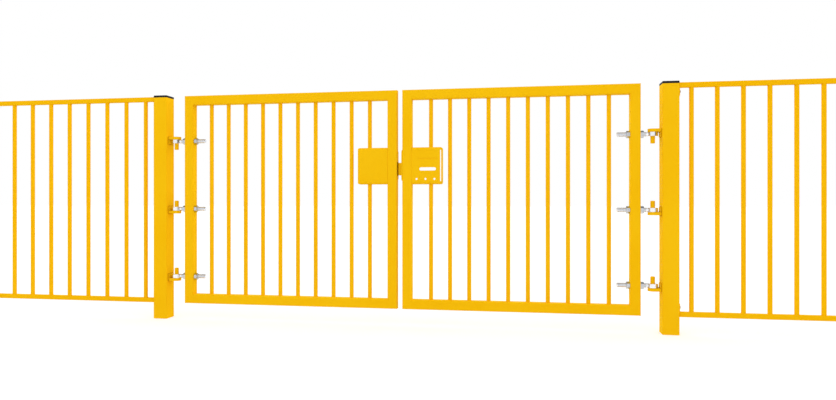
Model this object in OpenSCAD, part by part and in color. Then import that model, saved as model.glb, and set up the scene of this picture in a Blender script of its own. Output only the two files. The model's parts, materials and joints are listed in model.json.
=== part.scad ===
// Double-leaf vertical-bar gate between two square posts, with a fence bay on each side.
// Z = 0 is the ground. The origin is the middle of the left gate post's foot.
// X runs along the gate, Y = 0 is the mid-plane of the leaves, and -Y is the front.

/* [Gate leaves] */
// Width of one leaf over its stiles
leaf_w = 1210; // [900:10:1600]
// Height of a leaf over its rails
leaf_h = 1160; // [950:10:1600]
// Gap between the two meeting stiles
leaf_gap = 30; // [25:1:40]
// Clear height under the leaves
ground_gap = 88; // [40:1:150]
// Outer size of the square frame tube
frame_tube = 50; // [48:1:70]
// Wall thickness of the frame tube
frame_wall = 3; // [2:0.5:4]
// Outer corner radius of the frame tube
frame_r = 5; // [4:0.5:6]
// Number of upright bars in a leaf
leaf_bars = 10; // [6:1:14]
// Diameter of the round bars in leaves and fence
bar_d = 22; // [12:1:25]

/* [Posts] */
// Outer size of the square posts
post_size = 80; // [70:1:120]
// Wall thickness of the posts
post_wall = 3; // [3:0.5:6]
// Outer corner radius of the posts
post_r = 5; // [4.5:0.5:12]
// How far the leaf's top stands above the top of the post tube
post_drop = 7; // [0:1:20]
// Thickness of the plate that closes a post's foot
foot_t = 6; // [4:1:12]
// Thickness of the cap on top of a post
cap_t = 12; // [5:1:15]
// Depth of the cap's plug inside the post
cap_plug = 22; // [10:1:40]
// Wall of the cap's plug
cap_plug_wall = 3; // [2:0.5:5]
// Chamfer round the top of the cap
cap_chamfer = 2; // [1:0.5:5]
// Clearance between the cap's plug and the post
cap_fit = 0.3; // [0.1:0.1:1]

/* [Hinges] */
// Gap between a post and the leaf that it carries
hinge_gap = 100; // [90:1:130]
// Distance from the post's face to the hinge pin's axis
pin_reach = 39; // [38:1:50]
// Diameter of the hinge pin
pin_d = 22; // [16:1:24]
// Length of the pin beyond the eye
pin_spare = 35; // [15:1:50]
// Outer diameter of the eye
eye_d = 50; // [40:1:52]
// Radial clearance between pin and eye
pin_fit = 0.4; // [0.2:0.1:1]
// Gap between the eye and the arm that it turns on
eye_gap = 0.3; // [0.2:0.1:1]
// Thickness of the hinge arm
arm_t = 15; // [12:1:25]
// Width of the hinge arm
arm_w = 48; // [40:1:60]
// Thickness of the arm's base plate on the post
base_t = 5; // [4:1:8]
// Height of the arm's base plate
base_h = 40; // [30:1:60]
// Diameter of the threaded rod of the eye bolt
rod_d = 22; // [14:1:24]
// Length of the rod past the stile's inner face
rod_spare = 64; // [30:1:90]
// Chamfer on the ends of rod and pin
rod_chamfer = 2; // [1:0.5:3]
// Chamfer round the eye's edges
eye_chamfer = 1.5; // [0.5:0.5:2.5]
// Radial clearance of the rod in the stile
rod_fit = 0.5; // [0.3:0.1:1]
// Radial clearance of the thread in its nut
nut_fit = 0.1; // [0.05:0.05:0.3]
// Distance from the leaf's top down to the top eye bolt
top_rod_drop = 253; // [120:1:300]
// Distance from the leaf's underside up to the bottom eye bolt
bottom_rod_up = 148.5; // [120:0.5:300]

/* [Lock boxes] */
// Width of a lock box from the meeting stile
box_w = 162; // [120:1:180]
// Height of a lock box
box_h = 195; // [160:1:240]
// Height of the middle of the lock boxes above the ground
box_z = 846.5; // [700:0.5:900]
// Sheet thickness of a lock box
box_wall = 3; // [2:0.5:4]
// Radius of the bends along a box's top and bottom
box_bend = 14; // [6:1:14]
// Radius of a box's outline corners
box_corner = 10; // [6:1:14]
// Radius of the bend down a box's outer side
box_side_bend = 4; // [3.5:0.5:6]
// Length of the hand slot
slot_l = 88; // [60:1:100]
// Height of the hand slot
slot_h = 17; // [10:1:24]
// Distance from the stile to the hand slot's middle
slot_x = 86; // [75:1:95]
// Height of the hand slot's middle above the box's foot
slot_up = 80; // [72:1:82]
// Diameter of the three lock holes
lock_hole_d = 11; // [6:1:14]
// Spacing of the lock holes
lock_hole_pitch = 47.5; // [30:0.5:50]
// Distance from the stile to the middle lock hole
lock_hole_x = 74.5; // [65:0.5:85]
// Height of the lock holes above the box's foot
lock_hole_up = 27.5; // [22:0.5:35]
// Width of the upright slit at a lock tray's outer side
slit_w = 5.5; // [4:0.5:8]
// Height of the slit
slit_h = 164; // [100:1:166]
// Width of the strip between slit and outer side
slit_strip = 4.5; // [3.5:0.5:8]
// Length of the pressed groove above the hand slot
groove_l = 102; // [60:1:120]
// Width of the pressed groove
groove_w = 5; // [2:0.5:6]
// Depth of the pressed groove
groove_depth = 1.5; // [0.5:0.5:1.5]
// Height of the groove above the box's foot
groove_up = 136; // [110:1:170]

/* [Slide bolt] */
// Height of the bolt
bolt_h = 66; // [40:1:70]
// Thickness of the bolt
bolt_t = 28; // [16:1:30]
// Height of the bolt's middle above the box's foot
bolt_rise = 81; // [78:1:100]
// Gap between the drawn-back bolt and the keep plate
bolt_gap = 5.3; // [5:0.1:10]
// Length of the bolt behind the stile
bolt_tail = 33; // [20:1:60]
// Travel of the bolt
bolt_throw = 35; // [20:1:40]
// Clearance round the bolt in its guide
guide_fit = 0.5; // [0.3:0.1:2]
// Clearance round the bolt in its keeper
keeper_fit = 5; // [5:0.5:6]
// Chamfer on the bolt's tip
bolt_chamfer = 3; // [1:0.5:4]
// Thickness of the face plate that the bolt leaves
plate_t = 5; // [3:1:8]
// Thickness of the keep plate that the bolt enters
keep_t = 1.5; // [1:0.5:4]
// Height of both plates over their round ends
plate_h = 165; // [150:1:200]
// Width of both plates
plate_w = 46; // [44:1:50]
// Height of the plates' middle above the box's foot
plate_rise = 100.5; // [95:0.5:105]
// Distance from the keep plate's middle to each of its screws
keep_screw_off = 69.5; // [64:0.5:72]
// Diameter of the keep screws
keep_screw_d = 6; // [4:1:8]
// Diameter of the keep screw's button head
keep_head_d = 13; // [10:0.5:16]
// Thickness of the keep screw's head
keep_head_t = 4; // [3:0.5:5]
// Width of the head's hexagon socket
keep_socket_af = 4; // [3:0.5:5]
// Length of the keep screw inside the stile
keep_screw_in = 8; // [4:1:20]
// Height of the bolt's tail strip
tail_h = 16; // [10:1:17]
// Length of the tail strip
tail_l = 34; // [30:1:50]
// Diameter of the pull
pull_d = 16; // [10:1:20]
// Length of the pull
pull_l = 38; // [20:1:60]

/* [Fence] */
// Clear width of a fence bay between its posts
bay_w = 2040; // [1080:120:2520]
// Outer size of the fence rails
rail_tube = 25; // [24:1:40]
// Wall thickness of the fence rails
rail_wall = 2; // [1.5:0.5:3]
// Corner radius of the fence rails
rail_r = 3; // [2.5:0.5:4]
// Distance from a post's face to the first fence bar's axis
first_bar = 60; // [45:1:80]
// Spacing of the fence bars
bar_pitch = 120; // [90:1:130]
// Height of the fence panel's underside above the ground
panel_z = 88; // [40:1:150]
// How far the leaf's top stands above the panel's top
panel_drop = 2; // [0:1:100]
// Distance of the panel in front of the posts' middle
panel_front = 18; // [0:1:25]
// Thickness of the panel's end plates
end_plate_t = 4; // [3:1:8]
// Height of the panel's end plates
end_plate_h = 66; // [60:1:100]
// Width of the panel's end plates
end_plate_w = 25; // [25:1:40]
// Diameter of the panel bolts
panel_bolt_d = 10; // [8:1:12]
// Diameter of the panel bolt's cup head
panel_head_d = 24; // [16:1:25]
// Thickness of the panel bolt's head
panel_head_t = 5.5; // [3:0.5:7]
// Length of the panel bolt inside the post
panel_bolt_in = 14; // [8:1:30]
// Clearance round the panel bolts
panel_bolt_fit = 0.5; // [0.3:0.1:1]

/* [Hidden] */
$fn = 48;
coat = [0.965, 0.745, 0.035];
zinc = [0.75, 0.76, 0.78];
cap_black = [0.1, 0.1, 0.12];
// How far a cutter reaches past the face that it cuts
over = 1;

// Places along X
hinge_edge = post_size / 2 + hinge_gap;
pin_x = post_size / 2 + pin_reach;
gate_mid = hinge_edge + leaf_w + leaf_gap / 2;
end_post_x = -(post_size + bay_w);
stile_in = leaf_w - frame_tube;

// Places above a leaf's underside
box_up = box_z - ground_gap;
box_foot = box_up - box_h / 2;
bolt_up = box_foot + bolt_rise;

// Heights above the ground that follow the leaf's top
leaf_top = ground_gap + leaf_h;
post_h = leaf_top - post_drop;
panel_top = leaf_top - panel_drop;

// Heights of the bottom, middle and top eye bolts above the ground
bottom_rod_z = ground_gap + bottom_rod_up;
top_rod_z = leaf_top - top_rod_drop;
middle_rod_z = (bottom_rod_z + top_rod_z) / 2;
rod_heights = [bottom_rod_z, middle_rod_z, top_rod_z];

// The eye is as high as the rod is thick, and the nuts have the proportions of a coarse thread
eye_h = rod_d;
nut_af = rod_d + 10;
nut_t = 0.8 * rod_d;

// Leaf bars share the space between the stiles evenly
leaf_pitch = (leaf_w - 2 * frame_tube) / (leaf_bars + 1);

// Fence bars that fit between the two end gaps
fence_bars = floor((bay_w - 2 * first_bar) / bar_pitch) + 1;

// The bolt's tip at rest, past the meeting edge of its own leaf
bolt_tip = leaf_gap - keep_t - bolt_gap;

// Panel bolts sit in the middle of the end plate's part beyond the rail
panel_bolt_off = (rail_tube + end_plate_h) / 2;
panel_bolt_zs = [panel_z + panel_bolt_off, panel_top - panel_bolt_off];

// ---- placing ----

// Draws its children on the left half, or their mirror image on the right half
module on_side(right) {
    if (right) translate([2 * gate_mid, 0, 0]) mirror([1, 0, 0]) children();
    else children();
}

// Leaf coordinates: X from the hinge edge towards the meeting edge, Z from the underside
module in_leaf(right) {
    on_side(right) translate([hinge_edge, 0, ground_gap]) children();
}

// ---- profiles ----

module rounded_square(w, h, r) {
    square([w - 2 * r, h], center = true);
    square([w, h - 2 * r], center = true);
    for (x = [-1, 1], y = [-1, 1])
        translate([x * (w / 2 - r), y * (h / 2 - r)]) circle(r);
}

module tube_profile(size, wall, r) {
    difference() {
        rounded_square(size, size, r);
        rounded_square(size - 2 * wall, size - 2 * wall, r - wall);
    }
}

// A plate outline with one pair of corners rounded, from X = 0 to X = w
module pan_outline(w, h, r) {
    translate([0, -h / 2]) square([w - r, h]);
    translate([w - r - over, r - h / 2]) square([r + over, h - 2 * r]);
    for (y = [-1, 1])
        translate([w - r, y * (h / 2 - r)]) circle(r);
}

// ---- fence and posts ----

module post_tube() {
    linear_extrude(post_h) tube_profile(post_size, post_wall, post_r);
    linear_extrude(foot_t) rounded_square(post_size - post_wall, post_size - post_wall, post_r - post_wall / 2);
}

// Holes for a panel's bolts in the face on the post's side, -1 for -X or 1 for +X
module panel_bolt_holes(side) {
    for (z = panel_bolt_zs)
        translate([side * post_size / 2, -panel_front, z]) rotate([0, 90, 0])
            cylinder(d = panel_bolt_d + 2 * panel_bolt_fit, h = 2 * (post_wall + over), center = true);
}

module gate_post(right) {
    color(coat) on_side(right) difference() {
        post_tube();
        panel_bolt_holes(-1);
    }
}

module end_post(right) {
    color(coat) on_side(right) translate([end_post_x, 0, 0]) difference() {
        post_tube();
        panel_bolt_holes(1);
    }
}

// Cap seated on the post's rim, with a hollow plug inside the tube
module post_cap(right, x) {
    plug = post_size - 2 * post_wall - 2 * cap_fit;
    plug_r = post_r - post_wall - cap_fit;
    color(cap_black) on_side(right) translate([x, 0, post_h]) {
        linear_extrude(cap_t - cap_chamfer) rounded_square(post_size, post_size, post_r);
        translate([0, 0, cap_t - cap_chamfer])
            cap_crown();
        translate([0, 0, -cap_plug]) linear_extrude(cap_plug + over) difference() {
            rounded_square(plug, plug, plug_r);
            rounded_square(plug - 2 * cap_plug_wall, plug - 2 * cap_plug_wall, plug_r - 1);
        }
    }
}

// The chamfered top of a cap
module cap_crown() {
    hull() {
        linear_extrude(0.01) rounded_square(post_size, post_size, post_r, $fn = 32);
        linear_extrude(cap_chamfer)
            rounded_square(post_size - 2 * cap_chamfer, post_size - 2 * cap_chamfer, post_r - cap_chamfer, $fn = 32);
    }
}

// X of the left bay's two ends, at the posts' faces
bay_x0 = end_post_x + post_size / 2;
bay_x1 = -post_size / 2;

module fence_panel(right) {
    rail_zs = [panel_z + rail_tube / 2, panel_top - rail_tube / 2];
    color(coat) on_side(right) translate([0, -panel_front, 0]) difference() {
        union() {
            for (z = rail_zs)
                translate([bay_x0, 0, z]) rotate([90, 0, 90])
                    linear_extrude(bay_w) rounded_square(rail_tube, rail_tube, rail_r);
            for (i = [0 : fence_bars - 1])
                translate([bay_x1 - first_bar - i * bar_pitch, 0, panel_z + rail_tube - rail_wall])
                    cylinder(d = bar_d, h = panel_top - panel_z - 2 * (rail_tube - rail_wall));
            for (x = [bay_x0, bay_x1 - end_plate_t], z = [panel_z, panel_top - end_plate_h])
                translate([x, -end_plate_w / 2, z]) cube([end_plate_t, end_plate_w, end_plate_h]);
        }
        for (z = rail_zs)
            translate([bay_x0 - over, 0, z]) rotate([90, 0, 90]) linear_extrude(bay_w + 2 * over)
                rounded_square(rail_tube - 2 * rail_wall, rail_tube - 2 * rail_wall, rail_r - rail_wall);
        for (x = [bay_x0, bay_x1], z = panel_bolt_zs)
            translate([x, 0, z]) rotate([0, 90, 0])
                cylinder(d = panel_bolt_d + 2 * panel_bolt_fit, h = 2 * (end_plate_t + over), center = true);
    }
}

// A panel bolt along +X from the post's inside, its head on the end plate
module panel_bolt() {
    translate([-post_wall - panel_bolt_in, 0, 0]) rotate([0, 90, 0])
        cylinder(d = panel_bolt_d, h = panel_bolt_in + post_wall + end_plate_t + panel_head_t / 2);
    translate([end_plate_t, 0, 0]) rotate([0, 90, 0]) domed_head(panel_head_d, panel_head_t);
}

module panel_bolts(right) {
    color(zinc) on_side(right) translate([0, -panel_front, 0])
        for (z = panel_bolt_zs) {
            translate([bay_x0, 0, z]) panel_bolt();
            translate([bay_x1, 0, z]) mirror([1, 0, 0]) panel_bolt();
        }
}

module hex_prism(af, h) {
    cylinder(d = af / cos(30), h = h, $fn = 6);
}

// Hexagon whose corners are turned off at 30 degrees on both faces
module chamfered_hexagon(af, h) {
    corner = af / 2 / cos(30) + over;
    drop = (corner - af / 2) * tan(30);
    intersection() {
        hex_prism(af, h);
        rotate_extrude()
            polygon([[0, 0], [af / 2, 0], [corner, drop], [corner, h - drop], [af / 2, h], [0, h]]);
    }
}

// ---- hinges ----

// The arm's underside lies one gap above the eye, or the whole is turned over below it
module hinge_arm(right, z, pin_down) {
    arm_foot = eye_h / 2 + eye_gap;
    color(coat) on_side(right) translate([post_size / 2, 0, z]) mirror([0, 0, pin_down ? 0 : 1]) {
        translate([0, -arm_w / 2, arm_foot + arm_t - base_h]) cube([base_t, arm_w, base_h]);
        translate([0, 0, arm_foot]) linear_extrude(arm_t) {
            translate([0, -arm_w / 2]) square([pin_reach, arm_w]);
            translate([pin_reach, 0]) circle(d = arm_w);
        }
        translate([pin_reach, 0, -eye_h / 2 - pin_spare]) {
            cylinder(d1 = pin_d - 2 * rod_chamfer, d2 = pin_d, h = rod_chamfer);
            translate([0, 0, rod_chamfer])
                cylinder(d = pin_d, h = eye_h + pin_spare + eye_gap + arm_t / 2 - rod_chamfer);
        }
    }
}

// Eye round the pin and a rod through the hinge stile
module eye_bolt(right, z) {
    rod_end = hinge_edge + frame_tube + rod_spare;
    color(zinc) on_side(right) translate([0, 0, z]) difference() {
        union() {
            translate([pin_x, 0, 0]) eye_blank();
            translate([pin_x, 0, 0]) rotate([0, 90, 0])
                cylinder(d = rod_d, h = rod_end - rod_chamfer - pin_x);
            translate([rod_end - rod_chamfer, 0, 0]) rotate([0, 90, 0])
                cylinder(d1 = rod_d, d2 = rod_d - 2 * rod_chamfer, h = rod_chamfer);
        }
        translate([pin_x, 0, -eye_h / 2 - over]) cylinder(d = pin_d + 2 * pin_fit, h = eye_h + 2 * over);
    }
}

// The eye before its hole is bored, with chamfered edges
module eye_blank() {
    r = eye_d / 2;
    rotate_extrude()
        polygon([[0, -eye_h / 2], [r - eye_chamfer, -eye_h / 2], [r, eye_chamfer - eye_h / 2],
                 [r, eye_h / 2 - eye_chamfer], [r - eye_chamfer, eye_h / 2], [0, eye_h / 2]]);
}

module rod_nut() {
    difference() {
        rotate([0, 90, 0]) chamfered_hexagon(nut_af, nut_t);
        translate([-over, 0, 0]) rotate([0, 90, 0]) cylinder(d = rod_d + 2 * nut_fit, h = nut_t + 2 * over);
    }
}

// One nut on each side of the stile at each eye bolt
module hinge_nuts(right) {
    color(zinc) on_side(right)
        for (z = rod_heights) {
            translate([hinge_edge - nut_t, 0, z]) rod_nut();
            translate([hinge_edge + frame_tube, 0, z]) rod_nut();
        }
}

// ---- leaves ----

// Frame tube along +X from X = 0, its ends mitred in towards +Z
module mitred_tube(len) {
    intersection() {
        translate([0, 0, frame_tube / 2]) rotate([90, 0, 90])
            linear_extrude(len) tube_profile(frame_tube, frame_wall, frame_r);
        rotate([90, 0, 0]) linear_extrude(2 * frame_tube, center = true)
            polygon([[-over, -over], [len + over, -over],
                     [len - frame_tube - over, frame_tube + over], [frame_tube + over, frame_tube + over]]);
    }
}

module bottom_rail(right) {
    color(coat) in_leaf(right) mitred_tube(leaf_w);
}

module top_rail(right) {
    color(coat) in_leaf(right) translate([0, 0, leaf_h]) mirror([0, 0, 1]) mitred_tube(leaf_w);
}

// Stile along +Z whose outer side is the plane X = 0
module stile() {
    mirror([1, 0, 0]) rotate([0, -90, 0]) mitred_tube(leaf_h);
}

module hinge_stile(right) {
    color(coat) in_leaf(right) difference() {
        stile();
        for (z = rod_heights)
            translate([-over, 0, z - ground_gap]) rotate([0, 90, 0])
                cylinder(d = rod_d + 2 * rod_fit, h = frame_tube + 2 * over);
    }
}

// Block as high and thick as the bolt with a clearance round it, from x0 to x1
module bolt_space(x0, x1, fit) {
    translate([x0, -bolt_t / 2 - fit, bolt_up - bolt_h / 2 - fit])
        cube([x1 - x0, bolt_t + 2 * fit, bolt_h + 2 * fit]);
}

// The bolt passes both walls of the stile that guides it, and the outer wall of the other
module meeting_stile(right) {
    color(coat) in_leaf(right) difference() {
        translate([leaf_w, 0, 0]) mirror([1, 0, 0]) stile();
        if (right) bolt_space(stile_in - over, leaf_w + over, guide_fit);
        else {
            bolt_space(leaf_w - frame_tube / 2, leaf_w + over, keeper_fit);
            at_keep_screws() cylinder(d = keep_screw_d + 2 * rod_fit, h = 4 * frame_wall, center = true);
        }
    }
}

// Places its children on the axes of the two keep screws, with +Z out of the stile's face
module at_keep_screws() {
    for (side = [-1, 1])
        translate([leaf_w, 0, box_foot + plate_rise + side * keep_screw_off]) rotate([0, 90, 0]) children();
}

// Plate with round ends on a stile's outer face
module edge_plate(t) {
    straight = plate_h - plate_w;
    translate([leaf_w, 0, box_foot + plate_rise]) rotate([90, 0, 90]) linear_extrude(t) {
        square([plate_w, straight], center = true);
        for (side = [-1, 1]) translate([0, side * straight / 2]) circle(d = plate_w);
    }
}

module face_plate() {
    color(coat) in_leaf(true) difference() {
        edge_plate(plate_t);
        bolt_space(leaf_w - over, leaf_w + plate_t + over, guide_fit);
    }
}

module keep_plate() {
    color(coat) in_leaf(false) difference() {
        edge_plate(keep_t);
        bolt_space(leaf_w - over, leaf_w + keep_t + over, keeper_fit);
        at_keep_screws() cylinder(d = keep_screw_d + 2 * rod_fit, h = 4 * keep_t, center = true);
    }
}

// Button-headed screws that hold the keep plate
module keep_screws() {
    color(coat) in_leaf(false) at_keep_screws() difference() {
        union() {
            translate([0, 0, -keep_screw_in])
                cylinder(d = keep_screw_d, h = keep_screw_in + keep_t + keep_head_t / 2);
            translate([0, 0, keep_t]) domed_head(keep_head_d, keep_head_t);
        }
        translate([0, 0, keep_t + keep_head_t / 2]) hex_prism(keep_socket_af, keep_head_t);
    }
}

// A low dome: the part of a ball that stands above the head's seat
module domed_head(d, t) {
    r = d / 2;
    ball_r = (r * r + t * t) / (2 * t);
    intersection() {
        translate([0, 0, t - ball_r]) sphere(ball_r);
        cylinder(r = r + over, h = t + over);
    }
}

// Round bars between the rails; those that meet the lock box end on it
module leaf_bar_set(right) {
    color(coat) in_leaf(right)
        for (i = [1 : leaf_bars]) {
            x = frame_tube + i * leaf_pitch;
            hits_box = x + bar_d / 2 > stile_in - box_w;
            if (hits_box) {
                translate([x, 0, frame_tube]) cylinder(d = bar_d, h = box_foot - frame_tube);
                translate([x, 0, box_foot + box_h])
                    cylinder(d = bar_d, h = leaf_h - frame_tube - box_foot - box_h);
            } else
                translate([x, 0, frame_tube]) cylinder(d = bar_d, h = leaf_h - 2 * frame_tube);
        }
}

// Box body with bent edges, grown inwards by t, from the stile's plane X = 0 towards +X
// The bends run along the front only, or along front and back
module box_body(t, both_faces) {
    w = box_w - t;
    h = box_h - 2 * t;
    depth = frame_tube;
    bend = box_bend - t;
    side = box_side_bend - t;
    intersection() {
        rotate([90, 0, 0]) linear_extrude(depth + 2 * over, center = true)
            pan_outline(w, h, box_corner - t);
        rotate([90, 0, 90]) linear_extrude(w + over) bent_section(depth - 2 * t, h, bend, both_faces, t);
        linear_extrude(h + 2 * over, center = true) bent_plan(depth - 2 * t, w, side, both_faces, t);
    }
}

// Section across a box: Y to the right, Z up
module bent_section(d, h, r, both_faces, t) {
    back = both_faces ? d / 2 : d / 2 + t + (t > 0 ? over : 0);
    translate([-d / 2 + r, -h / 2]) square([back + d / 2 - r * (both_faces ? 2 : 1), h]);
    translate([-d / 2, r - h / 2]) square([back + d / 2, h - 2 * r]);
    for (z = [-1, 1]) {
        translate([-d / 2 + r, z * (h / 2 - r)]) circle(r);
        if (both_faces) translate([d / 2 - r, z * (h / 2 - r)]) circle(r);
    }
}

// Plan of a box: X from the stile, Y across
module bent_plan(d, w, r, both_faces, t) {
    back = both_faces ? d / 2 : d / 2 + t + (t > 0 ? over : 0);
    translate([-over, -d / 2]) square([w - r + over, back + d / 2]);
    translate([-over, -d / 2 + r]) square([w + over, back + d / 2 - r * (both_faces ? 2 : 1)]);
    translate([w - r, -d / 2 + r]) circle(r);
    if (both_faces) translate([w - r, d / 2 - r]) circle(r);
}

// Bent sheet body standing against the stile's inner face
module at_box(right) {
    in_leaf(right) translate([stile_in, 0, box_up]) mirror([1, 0, 0]) children();
}

module sheet_body(both_faces) {
    difference() {
        intersection() {
            box_body(0, both_faces);
            translate([0, -frame_tube, -box_h]) cube([box_w + over, 2 * frame_tube, 2 * box_h]);
        }
        translate([-over, 0, 0]) box_body_inner(both_faces);
    }
}

// The inside is carried on past the stile's plane so that the body is open there
module box_body_inner(both_faces) {
    box_body(box_wall, both_faces);
    translate([over, 0, 0]) box_body(box_wall, both_faces);
}

module round_slot(l, w, depth) {
    rotate([90, 0, 0]) linear_extrude(depth, center = true) {
        square([l - w, w], center = true);
        for (x = [-1, 1]) translate([x * (l - w) / 2, 0]) circle(d = w);
    }
}

module lock_box() {
    color(coat) at_box(false) sheet_body(true);
}

module lock_tray() {
    front = -frame_tube / 2;
    color(coat) at_box(true) difference() {
        sheet_body(false);
        translate([slot_x, front, slot_up - box_h / 2]) round_slot(slot_l, slot_h, 4 * box_wall);
        translate([slot_x, front, groove_up - box_h / 2]) round_slot(groove_l, groove_w, 2 * groove_depth);
        for (i = [-1, 0, 1])
            translate([lock_hole_x + i * lock_hole_pitch, front, lock_hole_up - box_h / 2]) rotate([90, 0, 0])
                cylinder(d = lock_hole_d, h = 4 * box_wall, center = true);
        translate([box_w - slit_strip - slit_w, front - box_wall, -slit_h / 2])
            cube([slit_w, 3 * box_wall, slit_h]);
    }
}

// ---- slide bolt ----

// Plan of the bolt, with the corners of its tip taken off
module bolt_plan() {
    tip = leaf_w + bolt_tip;
    half = bolt_t / 2;
    polygon([[stile_in - bolt_tail - over, -half - over], [tip - bolt_chamfer - over, -half - over],
             [tip + over, bolt_chamfer + over - half], [tip + over, half - bolt_chamfer - over],
             [tip - bolt_chamfer - over, half + over], [stile_in - bolt_tail - over, half + over]]);
}

module bolt_bar() {
    color(coat) in_leaf(true) {
        intersection() {
            bolt_space(stile_in - bolt_tail, leaf_w + bolt_tip, 0);
            linear_extrude(leaf_h) bolt_plan();
        }
        translate([stile_in - bolt_tail - tail_l, -bolt_t / 2, bolt_up + bolt_h / 2 - tail_h])
            cube([tail_l + over, bolt_t, tail_h]);
    }
}

module pull() {
    color(zinc) in_leaf(true)
        translate([stile_in - bolt_tail - tail_l + pull_d / 2, bolt_t / 2, bolt_up + bolt_h / 2 - tail_h / 2])
            rotate([-90, 0, 0]) cylinder(d = pull_d, h = pull_l);
}

gate_post(false);  // left_gate_post
gate_post(true);  // right_gate_post
post_cap(false, 0);  // left_gate_post_cap
post_cap(true, 0);  // right_gate_post_cap
end_post(false);  // left_end_post
end_post(true);  // right_end_post
post_cap(false, end_post_x);  // left_end_post_cap
post_cap(true, end_post_x);  // right_end_post_cap
fence_panel(false);  // left_fence_panel
fence_panel(true);  // right_fence_panel
panel_bolts(false);  // left_panel_bolts
panel_bolts(true);  // right_panel_bolts
hinge_arm(false, top_rod_z, true);  // left_top_hinge_arm
hinge_arm(false, middle_rod_z, false);  // left_middle_hinge_arm
hinge_arm(false, bottom_rod_z, false);  // left_bottom_hinge_arm
hinge_arm(true, top_rod_z, true);  // right_top_hinge_arm
hinge_arm(true, middle_rod_z, false);  // right_middle_hinge_arm
hinge_arm(true, bottom_rod_z, false);  // right_bottom_hinge_arm
hinge_stile(false);  // left_hinge_stile
meeting_stile(false);  // left_meeting_stile
top_rail(false);  // left_top_rail
bottom_rail(false);  // left_bottom_rail
leaf_bar_set(false);  // left_leaf_bars
lock_box();  // left_lock_box
keep_plate();  // left_keep_plate
keep_screws();  // left_keep_screws
eye_bolt(false, top_rod_z);  // left_top_eye_bolt
eye_bolt(false, middle_rod_z);  // left_middle_eye_bolt
eye_bolt(false, bottom_rod_z);  // left_bottom_eye_bolt
hinge_nuts(false);  // left_hinge_nuts
hinge_stile(true);  // right_hinge_stile
meeting_stile(true);  // right_meeting_stile
top_rail(true);  // right_top_rail
bottom_rail(true);  // right_bottom_rail
leaf_bar_set(true);  // right_leaf_bars
lock_tray();  // right_lock_tray
face_plate();  // right_face_plate
eye_bolt(true, top_rod_z);  // right_top_eye_bolt
eye_bolt(true, middle_rod_z);  // right_middle_eye_bolt
eye_bolt(true, bottom_rod_z);  // right_bottom_eye_bolt
hinge_nuts(true);  // right_hinge_nuts
bolt_bar();  // slide_bolt
pull();  // bolt_pull
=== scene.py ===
"""Looks for the double gate: powder coat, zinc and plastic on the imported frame, with
screw threads, weld beads and a plain studio around it. Units are metres."""

import json
import math

import bmesh
import bpy
from mathutils import Matrix, Vector

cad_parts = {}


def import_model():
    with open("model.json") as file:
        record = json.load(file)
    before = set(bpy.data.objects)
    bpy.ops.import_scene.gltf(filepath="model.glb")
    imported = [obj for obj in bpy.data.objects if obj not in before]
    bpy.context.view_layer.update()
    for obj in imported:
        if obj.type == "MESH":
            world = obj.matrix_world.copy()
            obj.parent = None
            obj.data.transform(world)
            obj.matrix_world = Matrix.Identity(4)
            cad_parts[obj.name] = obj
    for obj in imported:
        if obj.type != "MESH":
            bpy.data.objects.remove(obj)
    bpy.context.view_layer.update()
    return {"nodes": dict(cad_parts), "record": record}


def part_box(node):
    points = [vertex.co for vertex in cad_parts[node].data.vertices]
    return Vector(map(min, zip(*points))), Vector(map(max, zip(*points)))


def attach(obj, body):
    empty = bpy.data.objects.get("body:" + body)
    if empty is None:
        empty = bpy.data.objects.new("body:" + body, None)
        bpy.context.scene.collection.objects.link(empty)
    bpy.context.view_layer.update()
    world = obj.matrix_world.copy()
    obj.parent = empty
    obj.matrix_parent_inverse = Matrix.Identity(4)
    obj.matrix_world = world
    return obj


HINGES = ("top", "middle", "bottom")

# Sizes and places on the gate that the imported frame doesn't state by itself, in metres
GATE_MIDDLE = 1.365
FRAME_TUBE = 0.050
BAR_RADIUS = 0.011
BARS_IN_LEAF = 10
FENCE_RAIL = 0.025
FENCE_FRONT = -0.018
FIRST_FENCE_BAR = 0.060
FENCE_BAR_PITCH = 0.120
END_PLATE_THICKNESS = 0.004
ARM_THICKNESS = 0.015
BASE_PLATE_HEIGHT = 0.040
BASE_PLATE_THICKNESS = 0.005
EYE_REACH = 0.056
ROD_RADIUS = 0.011
ROD_CHAMFER = 0.0022

# Thread of the eye bolts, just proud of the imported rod
THREAD_PITCH = 0.0025
THREAD_ROOT = ROD_RADIUS - 0.00015
THREAD_CREST = ROD_RADIUS + 0.00035
THREAD_ROOT_HALF = 0.00122
THREAD_CREST_HALF = 0.00030
THREAD_STEPS_A_TURN = 20

# Weld beads: the radius of each kind, the length of a ripple and the width left at the tips
MITRE_BEAD = 0.0015
CORNER_BEAD = 0.0016
BOX_BEAD = 0.0028
ARM_BEAD = 0.0026
FENCE_SIDE_BEAD = 0.0012
FENCE_FLAT_BEAD = 0.0016
WELD_RIPPLE = 0.0015
WELD_TIP = 0.55

# How far the valleys between a lock box and its stile lie to each side of the leaf's middle
BOX_VALLEY = 0.0218

# Weld rings round the bars, each turned further than its neighbour so that none look alike
RING_BEAD = 0.0018
RING_RADIUS = BAR_RADIUS + 0.0003
RING_STEPS = 26
LEAF_RING_TURN = 1.3
FENCE_RING_TURN = 1.1

# Smooth shading stops at edges that turn by more than this, in degrees
SHARP_EDGE = 35.0

# Light on the gate: from all round, more of it from both ends and from front and back, and
# a soft lamp for what the ground throws back
WORLD_LIGHT = 0.56
SIDE_LIGHT = 1.52
FRONT_LIGHT = 0.51
LOW_LAMP = 0.80
LOW_LAMP_FROM = (0.05, -0.15, -0.98)
LOW_LAMP_SPREAD = 50.0

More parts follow.
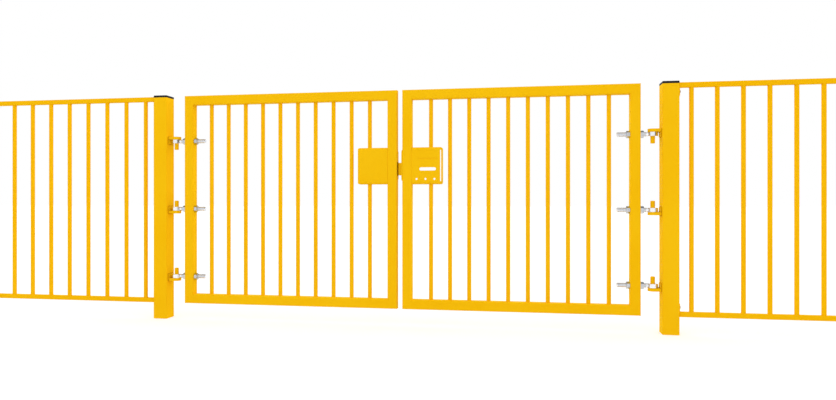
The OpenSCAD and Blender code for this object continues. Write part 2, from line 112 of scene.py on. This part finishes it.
# The floor: its two greys, its glow, which is there only where the floor is seen, how far it
# reaches to each side, and how far it lies below the posts' feet
FLOOR_DULL = (0.64, 0.64, 0.64)
FLOOR_PALE = (0.68, 0.68, 0.68)
FLOOR_GLOW = 0.45
FLOOR_REACH = 60.0
FLOOR_DROP = 0.0002

# The powder coat's darker specks, and the fixed values of its shader: hardly any mirror
# gloss, and a warm sheen
COAT_SPECK = (0.62, 0.33, 0.002)
COAT_FINISH = {
    "IOR": 1.10,
    "Specular IOR Level": 0.03,
    "Specular Tint": (1.0, 0.80, 0.30),
    "Sheen Weight": 0.50,
    "Sheen Roughness": 0.30,
    "Sheen Tint": (1.0, 0.90, 0.02),
}

# Height of each finish's relief, in metres
COAT_RELIEF = 0.00006
ZINC_RELIEF = 0.00003
PLASTIC_RELIEF = 0.00005

# The sockets of a Mix node for each kind of data: factor, first and second in, and the result
MIX_SOCKETS = {"FLOAT": (0, 2, 3, 0), "RGBA": (0, 6, 7, 2)}


# ---- shader node helpers ----


def new_material(name):
    """An empty node material with its Principled shader already wired to the output."""
    material = bpy.data.materials.new(name)
    material.use_nodes = True
    tree = material.node_tree
    tree.nodes.clear()
    output = tree.nodes.new("ShaderNodeOutputMaterial")
    shader = tree.nodes.new("ShaderNodeBsdfPrincipled")
    tree.links.new(shader.outputs["BSDF"], output.inputs["Surface"])
    return material, tree, shader


def new_surface_group(name, values):
    """A shader node group that turns a Position and named (kind, default) values into a
    surface's Colour, Roughness and Height."""
    tree = bpy.data.node_groups.new(name, "ShaderNodeTree")
    inputs = {"Position": ("Vector", (0.0, 0.0, 0.0)), **values}
    for label, (kind, default) in inputs.items():
        socket = tree.interface.new_socket(label, in_out="INPUT", socket_type="NodeSocket" + kind)
        socket.default_value = default
    for label, kind in (("Colour", "Color"), ("Roughness", "Float"), ("Height", "Float")):
        tree.interface.new_socket(label, in_out="OUTPUT", socket_type="NodeSocket" + kind)
    source = tree.nodes.new("NodeGroupInput")
    result = tree.nodes.new("NodeGroupOutput")
    return tree, source.outputs, result.inputs


def feed(tree, socket, value):
    """Gives a socket a number, a plain colour or another socket's output."""
    if isinstance(value, (int, float)):
        socket.default_value = value
    elif isinstance(value, tuple):
        socket.default_value = (*value, 1.0)
    else:
        tree.links.new(value, socket)


def noise(tree, vector, scale, detail, roughness):
    """A noise texture read at the given coordinates; returns its value socket."""
    node = tree.nodes.new("ShaderNodeTexNoise")
    node.inputs["Scale"].default_value = scale
    node.inputs["Detail"].default_value = detail
    node.inputs["Roughness"].default_value = roughness
    tree.links.new(vector, node.inputs["Vector"])
    return node.outputs["Fac"]


def stretched(tree, vector, scale):
    """The coordinates multiplied by a scale for each axis."""
    node = tree.nodes.new("ShaderNodeMapping")
    node.inputs["Scale"].default_value = scale
    tree.links.new(vector, node.inputs["Vector"])
    return node.outputs["Vector"]


def remapped(tree, value, low, high, to_low, to_high):
    """The value carried from one range to another; the ends may be sockets or numbers."""
    node = tree.nodes.new("ShaderNodeMapRange")
    labels = ("Value", "From Min", "From Max", "To Min", "To Max")
    for label, given in zip(labels, (value, low, high, to_low, to_high)):
        feed(tree, node.inputs[label], given)
    return node.outputs["Result"]


def mixed(tree, kind, factor, first, second):
    """Two values or two colours mixed by a factor."""
    node = tree.nodes.new("ShaderNodeMix")
    node.data_type = kind
    *places, result = MIX_SOCKETS[kind]
    for place, value in zip(places, (factor, first, second)):
        feed(tree, node.inputs[place], value)
    return node.outputs[result]


def calculated(tree, operation, *values):
    """One step of arithmetic on sockets or numbers."""
    node = tree.nodes.new("ShaderNodeMath")
    node.operation = operation
    for socket, value in zip(node.inputs, values):
        feed(tree, socket, value)
    return node.outputs[0]


# ---- shared surface effects ----


def make_powder_coat_group():
    """Baked powder: a slow drift of shade, orange peel, fine grit and a few small nibs."""
    tree, source, result = new_surface_group("powder coat surface", {
        "Colour": ("Color", (0.9, 0.5, 0.0, 1.0)),
        "Thin colour": ("Color", (0.9, 0.6, 0.0, 1.0)),
        "Roughness": ("Float", 0.4)})
    position = source["Position"]
    drift = noise(tree, position, 3.0, 3.0, 0.55)
    patches = noise(tree, position, 38.0, 3.0, 0.6)
    peel = noise(tree, position, 520.0, 2.0, 0.4)
    grit = noise(tree, position, 2600.0, 1.0, 0.5)
    nibs = tree.nodes.new("ShaderNodeTexVoronoi")
    nibs.inputs["Scale"].default_value = 36.0
    tree.links.new(position, nibs.inputs["Vector"])
    nib = remapped(tree, nibs.outputs["Distance"], 0.012, 0.030, 1.0, 0.0)

    shade = calculated(tree, "ADD", remapped(tree, drift, 0.35, 0.65, 0.0, 0.7),
                       remapped(tree, patches, 0.3, 0.7, 0.0, 0.3))
    colour = mixed(tree, "RGBA", shade, source["Colour"], source["Thin colour"])
    speckle = remapped(tree, grit, 0.60, 0.75, 0.0, 0.25)
    feed(tree, result["Colour"], mixed(tree, "RGBA", speckle, colour, COAT_SPECK))
    worn = remapped(tree, patches, 0.3, 0.7, -0.05, 0.06)
    feed(tree, result["Roughness"], calculated(tree, "ADD", source["Roughness"], worn))
    height = calculated(tree, "MULTIPLY_ADD", grit, 0.12, peel)
    feed(tree, result["Height"], calculated(tree, "MULTIPLY_ADD", nib, 0.8, height))
    return tree


def make_zinc_group():
    """Plated steel: cloudy passivation, fine lathe lines round the X axis and small pits."""
    tree, source, result = new_surface_group("zinc plated surface", {
        "Colour": ("Color", (0.8, 0.8, 0.8, 1.0)),
        "Cloud colour": ("Color", (0.7, 0.7, 0.75, 1.0)),
        "Roughness": ("Float", 0.25),
        "Line depth": ("Float", 0.3)})
    position = source["Position"]
    clouds = noise(tree, position, 70.0, 4.0, 0.6)
    lines = noise(tree, stretched(tree, position, (2400.0, 24.0, 24.0)), 1.0, 2.0, 0.6)
    pits = noise(tree, position, 900.0, 2.0, 0.5)

    tint = remapped(tree, clouds, 0.35, 0.68, 0.0, 1.0)
    colour = mixed(tree, "RGBA", tint, source["Colour"], source["Cloud colour"])
    feed(tree, result["Colour"], colour)
    spread = calculated(tree, "ADD", remapped(tree, clouds, 0.3, 0.7, -0.05, 0.08),
                        remapped(tree, lines, 0.3, 0.7, -0.03, 0.05))
    feed(tree, result["Roughness"], calculated(tree, "ADD", source["Roughness"], spread))
    grooves = calculated(tree, "MULTIPLY", lines, source["Line depth"])
    feed(tree, result["Height"], calculated(tree, "MULTIPLY_ADD", pits, 0.5, grooves))
    return tree


def make_moulded_group():
    """Moulded plastic: a fine eroded grain, dull rubbed patches and settled dust."""
    tree, source, result = new_surface_group("moulded plastic surface", {
        "Colour": ("Color", (0.02, 0.02, 0.02, 1.0)),
        "Dust colour": ("Color", (0.1, 0.1, 0.1, 1.0)),
        "Roughness": ("Float", 0.5)})
    position = source["Position"]
    rubbed = noise(tree, position, 45.0, 4.0, 0.65)
    grain = noise(tree, position, 1500.0, 2.0, 0.6)

    dust = remapped(tree, rubbed, 0.52, 0.75, 0.0, 0.35)
    colour = mixed(tree, "RGBA", dust, source["Colour"], source["Dust colour"])
    feed(tree, result["Colour"], colour)
    worn = remapped(tree, rubbed, 0.3, 0.7, -0.06, 0.12)
    feed(tree, result["Roughness"], calculated(tree, "ADD", source["Roughness"], worn))
    feed(tree, result["Height"], grain)
    return tree


# ---- materials ----


def surface_material(name, group, surface_values, shader_values, relief):
    """A material that shows a shared surface with its own values and depth of relief."""
    material, tree, shader = new_material(name)
    surface = tree.nodes.new("ShaderNodeGroup")
    surface.node_tree = group
    coordinates = tree.nodes.new("ShaderNodeTexCoord")
    tree.links.new(coordinates.outputs["Object"], surface.inputs["Position"])
    for label, value in surface_values.items():
        feed(tree, surface.inputs[label], value)
    for label, value in shader_values.items():
        feed(tree, shader.inputs[label], value)
    tree.links.new(surface.outputs["Colour"], shader.inputs["Base Color"])
    tree.links.new(surface.outputs["Roughness"], shader.inputs["Roughness"])
    bump = tree.nodes.new("ShaderNodeBump")
    bump.inputs["Strength"].default_value = 1.0
    bump.inputs["Distance"].default_value = relief
    tree.links.new(surface.outputs["Height"], bump.inputs["Height"])
    tree.links.new(bump.outputs["Normal"], shader.inputs["Normal"])
    return material


def coat_material(name, group, colour, thin_colour, roughness):
    """Powder coat in one shade and the lighter shade of its thin places."""
    values = {"Colour": colour, "Thin colour": thin_colour, "Roughness": roughness}
    return surface_material(name, group, values, COAT_FINISH, COAT_RELIEF)


def zinc_material(name, group, colour, cloud_colour, roughness, line_depth):
    """Plated steel in one grey and the grey of its clouds."""
    values = {"Colour": colour, "Cloud colour": cloud_colour, "Roughness": roughness,
              "Line depth": line_depth}
    return surface_material(name, group, values, {"Metallic": 1.0}, ZINC_RELIEF)


def make_materials():
    """One material for each finish: those of the record's slots, and two for details, one of
    which is a darker coat that paints shade on the hinge welds.
    """
    powder = make_powder_coat_group()
    zinc = make_zinc_group()
    cap_values = {"Colour": (0.007, 0.007, 0.009), "Dust colour": (0.025, 0.025, 0.027),
                  "Roughness": 0.50}
    return {
        "gate_coat": coat_material(
            "golden powder coat", powder,
            (0.905, 0.490, 0.0030), (0.925, 0.535, 0.0060), 0.36),
        "bar_coat": coat_material(
            "golden powder coat on bars", powder,
            (0.900, 0.467, 0.0024), (0.920, 0.507, 0.0047), 0.38),
        # Hinge arm weld beads: coat at about half the gate's colour, painted shade for the dark
        # crevice round each base plate
        "weld_coat": coat_material(
            "powder coat darkened as painted shade on weld beads", powder,
            (0.500, 0.240, 0.0015), (0.640, 0.320, 0.0025), 0.42),
        "post_cap": surface_material(
            "black moulded plastic", make_moulded_group(), cap_values,
            {"Specular IOR Level": 0.20}, PLASTIC_RELIEF),
        "eye_bolt_steel": zinc_material(
            "bright plated steel", zinc, (0.88, 0.89, 0.91), (0.78, 0.80, 0.85), 0.17, 0.5),
        "thread_steel": zinc_material(
            "plated thread", zinc, (0.54, 0.55, 0.58), (0.43, 0.45, 0.49), 0.24, 0.2),
        "fastener_zinc": zinc_material(
            "zinc on nuts and bolts", zinc, (0.60, 0.62, 0.64), (0.46, 0.48, 0.52), 0.22, 0.1),
        "pull_steel": zinc_material(
            "turned pull steel", zinc, (0.72, 0.73, 0.75), (0.64, 0.65, 0.68), 0.28, 0.8),
    }


def dress_frame(frame, materials):
    """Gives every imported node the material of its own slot."""
    slots = {part["node"]: part["material_slot"] for part in frame["record"]["subparts"]}
    for name, node in frame["nodes"].items():
        node.data.materials.clear()
        node.data.materials.append(materials[slots[name]])


# ---- mesh helpers ----


def finished_mesh(name, bm):
    """Turns a bmesh into a mesh."""
    mesh = bpy.data.meshes.new(name)
    bm.to_mesh(mesh)
    bm.free()
    return mesh


def finished_piece(name, bm, body, material):
    """Turns a bmesh into a piece with its place in its mesh, riding on a body of the gate."""
    bmesh.ops.recalc_face_normals(bm, faces=bm.faces)
    limit = math.radians(SHARP_EDGE)
    for face in bm.faces:
        face.smooth = True
    for edge in bm.edges:
        edge.smooth = edge.calc_face_angle(0.0) < limit
    mesh = finished_mesh(name, bm)
    mesh.materials.append(material)
    piece = bpy.data.objects.new(name, mesh)
    bpy.context.scene.collection.objects.link(piece)
    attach(piece, body)


def swept(bm, section, steps, axis=(0.0, 0.0, 1.0), angle=0.0, centre=(0.0, 0.0, 0.0),
          shift=(0.0, 0.0, 0.0), merge=False):
    """Sweeps a section round an axis, along a line or both; returns the edges of its end."""
    result = bmesh.ops.spin(bm, geom=section, cent=centre, axis=axis, dvec=shift, angle=angle,
                            steps=steps, use_merge=merge, use_normal_flip=False,
                            use_duplicate=False)
    return [part for part in result["geom_last"] if isinstance(part, bmesh.types.BMEdge)]


def add_weld_line(bm, start, end, radius):
    """A rippled weld bead of round section from start to end, its tips drawn in."""
    start, end = Vector(start), Vector(end)
    run = end - start
    steps = max(4, round(run.length / WELD_RIPPLE))
    turned = run.to_track_quat("Z", "Y").to_matrix().to_4x4()
    ring = bmesh.ops.create_circle(bm, cap_ends=True, segments=8, radius=radius,
                                   matrix=Matrix.Translation(start) @ turned)["verts"]
    edges = dict.fromkeys(edge for vert in ring for edge in vert.link_edges)
    last = swept(bm, ring + list(edges), steps, centre=start, shift=run / steps)
    bmesh.ops.contextual_create(bm, geom=last)
    bead = set(ring)
    reached = set(ring)
    while reached:
        reached = {edge.other_vert(vert) for vert in reached for edge in vert.link_edges} - bead
        bead |= reached
    for vert in bead:
        along = (vert.co - start).dot(run) / run.length_squared
        middle = start + run * along
        step = round(along * steps)
        ripple = 0.10 * math.cos(math.pi * step)
        unevenness = 0.06 * math.sin(step * 1.7 + start.z * 40.0)
        width = WELD_TIP if step in (0, steps) else 1.0 + ripple + unevenness
        vert.co = middle + (vert.co - middle) * width


def weld_ring_template():
    """A mesh of one rippled weld ring round the Z axis."""
    bm = bmesh.new()
    upright = Matrix.Translation((RING_RADIUS, 0.0, 0.0)) @ Matrix.Rotation(math.pi / 2, 4, "X")
    ring = bmesh.ops.create_circle(bm, cap_ends=False, segments=6, radius=RING_BEAD,
                                   matrix=upright)
    swept(bm, ring["verts"] + list(bm.edges), RING_STEPS, angle=2 * math.pi, merge=True)
    for vert in bm.verts:
        angle = math.atan2(vert.co.y, vert.co.x)
        middle = Vector((math.cos(angle), math.sin(angle), 0.0)) * RING_RADIUS
        ripple = 0.12 * math.cos(RING_STEPS / 2 * angle)
        unevenness = 0.06 * math.sin(5 * angle)
        vert.co = middle + (vert.co - middle) * (1.0 + ripple + unevenness)
    return finished_mesh("weld ring", bm)


def thread_template(length):
    """A mesh of a rolled thread round the X axis that fades out at both ends."""
    steps = int(length / THREAD_PITCH * THREAD_STEPS_A_TURN)
    section = ((-THREAD_ROOT_HALF, THREAD_ROOT), (-THREAD_CREST_HALF, THREAD_CREST),
               (THREAD_CREST_HALF, THREAD_CREST), (THREAD_ROOT_HALF, THREAD_ROOT))
    bm = bmesh.new()
    corners = [bm.verts.new((x, 0.0, radius)) for x, radius in section]
    cap = bm.faces.new(corners)
    last = swept(bm, corners + list(cap.edges), steps, axis=(1.0, 0.0, 0.0),
                 angle=2 * math.pi * steps / THREAD_STEPS_A_TURN,
                 shift=(THREAD_PITCH / THREAD_STEPS_A_TURN, 0.0, 0.0))
    bmesh.ops.contextual_create(bm, geom=last)
    for vert in bm.verts:
        inset = min(vert.co.x, length - vert.co.x) / THREAD_PITCH
        if inset < 1.0:
            reach = math.hypot(vert.co.y, vert.co.z)
            kept = (THREAD_ROOT + (reach - THREAD_ROOT) * max(0.0, inset)) / reach
            vert.co.y *= kept
            vert.co.z *= kept
    return finished_mesh("thread", bm)


def add_copy(bm, template, matrix):
    """Adds a template's mesh to a bmesh at the given place."""
    known = len(bm.verts)
    bm.from_mesh(template)
    bm.verts.ensure_lookup_table()
    bmesh.ops.transform(bm, matrix=matrix, verts=bm.verts[known:])


# ---- pieces on the gate ----


def leaf_lines(side):
    """X of a leaf's hinge edge and of its meeting edge, the sign of the way from the first to
    the second, and Z of its foot and its top."""
    hinge_low, hinge_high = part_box(f"{side}_hinge_stile")
    meeting_low, meeting_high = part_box(f"{side}_meeting_stile")
    if side == "left":
        return hinge_low.x, meeting_high.x, 1.0, hinge_low.z, hinge_high.z
    return hinge_high.x, meeting_low.x, -1.0, hinge_low.z, hinge_high.z


def make_eye_bolt_threads(side, materials, thread):
    """The threads from behind each eye to the rod's end."""
    for hinge in HINGES:
        low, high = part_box(f"{side}_{hinge}_eye_bolt")
        x = low.x + (EYE_REACH if side == "left" else ROD_CHAMFER)
        bm = bmesh.new()
        add_copy(bm, thread, Matrix.Translation((x, 0.0, (low.z + high.z) / 2)))
        finished_piece(f"{side}_{hinge}_eye_bolt_thread", bm,
                       f"{side}_leaf", materials["thread_steel"])


def make_leaf_bar_welds(side, box_node, materials, ring):
    """A weld ring where each bar meets the rails or the lock box."""
    hinge_x, meeting_x, way, foot, top = leaf_lines(side)
    box_low, box_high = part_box(box_node)
    spacing = (abs(meeting_x - hinge_x) - 2 * FRAME_TUBE) / (BARS_IN_LEAF + 1)
    bm = bmesh.new()
    for number in range(1, BARS_IN_LEAF + 1):
        x = hinge_x + way * (FRAME_TUBE + number * spacing)
        heights = [foot + FRAME_TUBE, top - FRAME_TUBE]
        if box_low.x - BAR_RADIUS < x < box_high.x + BAR_RADIUS:
            heights += [box_low.z, box_high.z]
        for index, z in enumerate(heights):
            turn = Matrix.Rotation(number * LEAF_RING_TURN + index, 4, "Z")
            add_copy(bm, ring, Matrix.Translation((x, 0.0, z)) @ turn)
    finished_piece(f"{side}_leaf_bar_welds", bm, f"{side}_leaf",
                   materials["bar_coat"])


def make_frame_corner_welds(side, materials):
    """Dressed seams on the mitres of a leaf's corners, and small beads across their edges."""
    seam_sunk = 0.0012
    seam_start = 0.006
    seam_end = 0.046
    bead_sunk = 0.0004
    bead_short = 0.006
    hinge_x, meeting_x, way, foot, top = leaf_lines(side)
    face = FRAME_TUBE / 2
    bm = bmesh.new()
    for edge_x, inward in ((hinge_x, way), (meeting_x, -way)):
        for edge_z, up in ((foot, 1.0), (top, -1.0)):
            for y in (-face + seam_sunk, face - seam_sunk):
                start = (edge_x + inward * seam_start, y, edge_z + up * seam_start)
                end = (edge_x + inward * seam_end, y, edge_z + up * seam_end)
                add_weld_line(bm, start, end, MITRE_BEAD)
            for inset in (bead_sunk, FRAME_TUBE - bead_sunk):
                x, z = edge_x + inward * inset, edge_z + up * inset
                add_weld_line(bm, (x, -face + bead_short, z), (x, face - bead_short, z),
                              CORNER_BEAD)
    finished_piece(f"{side}_frame_corner_welds", bm, f"{side}_leaf",
                   materials["gate_coat"])


def make_lock_box_welds(side, box_node, valleys, materials):
    """Beads in the valleys between the lock box and the rounded corners of its stile."""
    valley_sunk = 0.0018
    bead_short = 0.012
    _, meeting_x, way, _, _ = leaf_lines(side)
    low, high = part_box(box_node)
    x = meeting_x - way * (FRAME_TUBE - valley_sunk)
    bm = bmesh.new()
    for y in valleys:
        add_weld_line(bm, (x, y, low.z + bead_short), (x, y, high.z - bead_short), BOX_BEAD)
    finished_piece(f"{box_node}_welds", bm, f"{side}_leaf",
                   materials["gate_coat"])


def make_hinge_arm_welds(side, materials):
    """Beads round each arm's base plate on the post, and under or over the arm, in a darker coat
    that paints the shade of the crevices there.
    """
    bead_out = 0.0006
    side_out = 0.0004
    plate_short = 0.001
    arm_short = 0.004
    bm = bmesh.new()
    for hinge in HINGES:
        low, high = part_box(f"{side}_{hinge}_hinge_arm")
        post_x, out = (low.x, 1.0) if side == "left" else (high.x, -1.0)
        if hinge == "top":
            plate_foot, plate_top, away = high.z - BASE_PLATE_HEIGHT, high.z, -1.0
            arm_side = high.z - ARM_THICKNESS
        else:
            plate_foot, plate_top, away = low.z, low.z + BASE_PLATE_HEIGHT, 1.0
            arm_side = low.z + ARM_THICKNESS
        x = post_x + out * bead_out
        for y in (low.y - side_out, high.y + side_out):
            add_weld_line(bm, (x, y, plate_foot + plate_short), (x, y, plate_top - plate_short),
                          ARM_BEAD)
        for z in (plate_foot - side_out, plate_top + side_out):
            add_weld_line(bm, (x, low.y + plate_short, z), (x, high.y - plate_short, z),
                          ARM_BEAD)
        x = post_x + out * (BASE_PLATE_THICKNESS + bead_out)
        z = arm_side + away * bead_out
        add_weld_line(bm, (x, low.y + arm_short, z), (x, high.y - arm_short, z), ARM_BEAD)
    # the darker weld coat paints shade along the base plates
    finished_piece(f"{side}_hinge_arm_welds", bm, "posts_and_fence",
                   materials["weld_coat"])


def make_fence_welds(side, materials, ring):
    """Weld rings on the fence bars, and beads where the rails meet their end plates."""
    bead_out = 0.0004
    bead_short = 0.002
    low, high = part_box(f"{side}_fence_panel")
    if side == "left":
        near_gate, far_end, way = high.x, low.x, -1.0
    else:
        near_gate, far_end, way = low.x, high.x, 1.0
    bars = int((high.x - low.x - 2 * FIRST_FENCE_BAR) / FENCE_BAR_PITCH + 1e-6) + 1
    bm = bmesh.new()
    for number in range(bars):
        x = near_gate + way * (FIRST_FENCE_BAR + number * FENCE_BAR_PITCH)
        for index, z in enumerate((low.z + FENCE_RAIL, high.z - FENCE_RAIL)):
            turn = Matrix.Rotation(number * FENCE_RING_TURN + index, 4, "Z")
            add_copy(bm, ring, Matrix.Translation((x, FENCE_FRONT, z)) @ turn)
    half = FENCE_RAIL / 2
    for plate_x, inward in ((near_gate, way), (far_end, -way)):
        x = plate_x + inward * (END_PLATE_THICKNESS + bead_out)
        for rail_z, plate_side in ((low.z + half, 1.0), (high.z - half, -1.0)):
            for y in (FENCE_FRONT - half, FENCE_FRONT + half):
                add_weld_line(bm, (x, y, rail_z - half + bead_short),
                              (x, y, rail_z + half - bead_short), FENCE_SIDE_BEAD)
            z = rail_z + plate_side * half
            add_weld_line(bm, (x, FENCE_FRONT - half + bead_short, z),
                          (x, FENCE_FRONT + half - bead_short, z), FENCE_FLAT_BEAD)
    finished_piece(f"{side}_fence_welds", bm, "posts_and_fence",
                   materials["bar_coat"])


# ---- studio ----


def make_camera():
    """A level camera in front of the right leaf, turned a little to the left."""
    data = bpy.data.cameras.new("gate camera")
    data.sensor_width = 36.0
    data.lens = 26.98
    data.shift_y = -0.00035
    data.clip_end = 200.0
    camera = bpy.data.objects.new("gate camera", data)
    camera.location = (1.98745, -3.28348, 0.66697)
    camera.rotation_euler = (math.radians(90.0), 0.0, 0.159)
    bpy.context.scene.collection.objects.link(camera)
    bpy.context.scene.camera = camera


def make_floor():
    """A wide pale floor that looks white where it is open and keeps the gate's soft shadow."""
    material, tree, shader = new_material("pale studio floor")
    coordinates = tree.nodes.new("ShaderNodeTexCoord")
    mottle = noise(tree, coordinates.outputs["Object"], 6.0, 3.0, 0.5)
    tone = mixed(tree, "RGBA", mottle, FLOOR_DULL, FLOOR_PALE)
    path = tree.nodes.new("ShaderNodeLightPath").outputs
    seen = calculated(tree, "MAXIMUM", path["Is Camera Ray"], path["Is Glossy Ray"])
    seen = calculated(tree, "MAXIMUM", seen, path["Is Transmission Ray"])
    feed(tree, shader.inputs["Base Color"], tone)
    feed(tree, shader.inputs["Roughness"], 1.0)
    feed(tree, shader.inputs["Specular IOR Level"], 0.0)
    feed(tree, shader.inputs["Emission Color"], (1.0, 1.0, 1.0))
    feed(tree, shader.inputs["Emission Strength"],
         calculated(tree, "MULTIPLY", seen, FLOOR_GLOW))
    bm = bmesh.new()
    bmesh.ops.create_grid(bm, x_segments=2, y_segments=2, size=FLOOR_REACH,
                          matrix=Matrix.Translation((GATE_MIDDLE, 0.0, -FLOOR_DROP)))
    mesh = finished_mesh("studio_floor", bm)
    mesh.materials.append(material)
    floor = bpy.data.objects.new("studio_floor", mesh)
    bpy.context.scene.collection.objects.link(floor)
    floor.visible_shadow = False


def gloss_surroundings(tree, x, y, z):
    """What shiny metal mirrors: white, but for a dark wall at each end and a dim ceiling
    behind the gate, dimmest to the left."""
    right_wall = remapped(tree, x, 0.50, 0.74, 1.0, 0.02)
    left_wall = remapped(tree, x, -0.97, -0.86, 0.05, 1.0)
    behind = remapped(tree, y, 0.12, 0.45, 0.0, 1.0)
    overhead = remapped(tree, z, 0.30, 0.45, 0.0, 1.0)
    dimmest = remapped(tree, x, -0.50, 0.15, 0.03, 0.22)
    ceiling = remapped(tree, calculated(tree, "MULTIPLY", behind, overhead),
                       0.0, 1.0, 1.0, dimmest)
    walls = calculated(tree, "MULTIPLY", right_wall, left_wall)
    return calculated(tree, "MULTIPLY", walls, ceiling)


def light_round_gate(tree, x, y):
    """The light that falls on the gate: even, with more of it from both ends, front and back."""
    ends = calculated(tree, "MULTIPLY", calculated(tree, "MULTIPLY", x, x), SIDE_LIGHT)
    faces = calculated(tree, "MULTIPLY", calculated(tree, "MULTIPLY", y, y), FRONT_LIGHT)
    return calculated(tree, "ADD", calculated(tree, "ADD", ends, faces), WORLD_LIGHT)


def make_world():
    """White surroundings, with one light for the gate and another for its shiny metal."""
    world = bpy.data.worlds.new("white studio")
    bpy.context.scene.world = world
    world.use_nodes = True
    tree = world.node_tree
    tree.nodes.clear()
    output = tree.nodes.new("ShaderNodeOutputWorld")
    background = tree.nodes.new("ShaderNodeBackground")
    tree.links.new(background.outputs["Background"], output.inputs["Surface"])
    background.inputs["Color"].default_value = (1.0, 1.0, 1.0, 1.0)
    path = tree.nodes.new("ShaderNodeLightPath").outputs
    coordinates = tree.nodes.new("ShaderNodeTexCoord")
    split = tree.nodes.new("ShaderNodeSeparateXYZ")
    tree.links.new(coordinates.outputs["Generated"], split.inputs["Vector"])
    x, y, z = split.outputs
    lit = mixed(tree, "FLOAT", path["Is Glossy Ray"], light_round_gate(tree, x, y),
                gloss_surroundings(tree, x, y, z))
    seen = calculated(tree, "MAXIMUM", path["Is Camera Ray"], path["Is Transmission Ray"])
    feed(tree, background.inputs["Strength"], mixed(tree, "FLOAT", seen, lit, 1.0))


def make_low_lamp():
    """A soft lamp from the ground that metal doesn't mirror."""
    data = bpy.data.lights.new("low lamp", "SUN")
    data.energy = LOW_LAMP
    data.angle = math.radians(LOW_LAMP_SPREAD)
    lamp = bpy.data.objects.new("low lamp", data)
    lamp.visible_glossy = False
    lamp.rotation_euler = Vector(LOW_LAMP_FROM).to_track_quat("Z", "Y").to_euler()
    bpy.context.scene.collection.objects.link(lamp)


# ---- the whole scene ----


def main():
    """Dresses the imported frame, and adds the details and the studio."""
    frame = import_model()
    bpy.context.scene.view_settings.view_transform = "Standard"
    make_camera()
    materials = make_materials()
    dress_frame(frame, materials)

    ring = weld_ring_template()
    rod_low, rod_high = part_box("left_top_eye_bolt")
    thread = thread_template(rod_high.x - rod_low.x - EYE_REACH - ROD_CHAMFER)
    for side, box_node, valleys in (("left", "left_lock_box", (-BOX_VALLEY, BOX_VALLEY)),
                                    ("right", "right_lock_tray", (-BOX_VALLEY,))):
        make_eye_bolt_threads(side, materials, thread)
        make_leaf_bar_welds(side, box_node, materials, ring)
        make_frame_corner_welds(side, materials)
        make_lock_box_welds(side, box_node, valleys, materials)
        make_hinge_arm_welds(side, materials)
        make_fence_welds(side, materials, ring)

    make_floor()
    make_world()
    make_low_lamp()


main()
